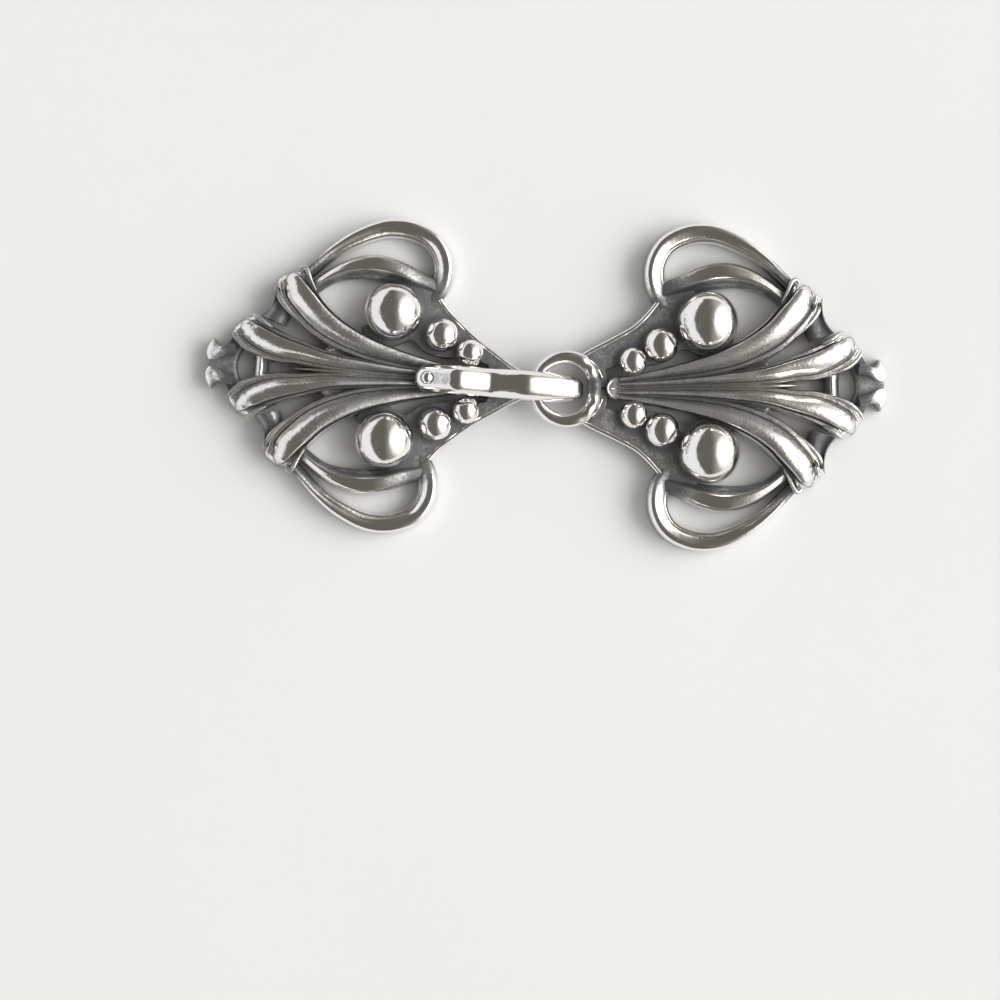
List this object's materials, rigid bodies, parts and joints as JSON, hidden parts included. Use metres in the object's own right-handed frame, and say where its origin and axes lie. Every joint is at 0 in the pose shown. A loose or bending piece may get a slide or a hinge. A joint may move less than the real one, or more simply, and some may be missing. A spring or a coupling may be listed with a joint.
{
  "type": "hook and eye clasp",
  "caption": "Fastened hook and eye clasp: pierced, cast silver halves with leaves and beads, joined by a flat hook through a round ring.",
  "frame": {"origin": "centre of the bounding box, in the plane of the flat backs", "axes": "+X from the hook half to the eye half, +Y across the clasp, +Z out of the worn face"},
  "size_m": [0.0338, 0.0166, 0.0031],
  "materials": {
    "silver": "polished silver with darkened recesses"
  },
  "bodies": {
    "eye_half": {"eye_half": "silver"},
    "hook_half": {"hook_half": "silver"}
  },
  "joints": [
    {"name": "clasp_hinge", "type": "hinge", "parent": "eye_half", "child": "hook_half", "pos_m": [-0.00052, -0.00022, 0.00142], "axis": [0, 1, 0], "range_deg": [-90, 120]}
  ]
}
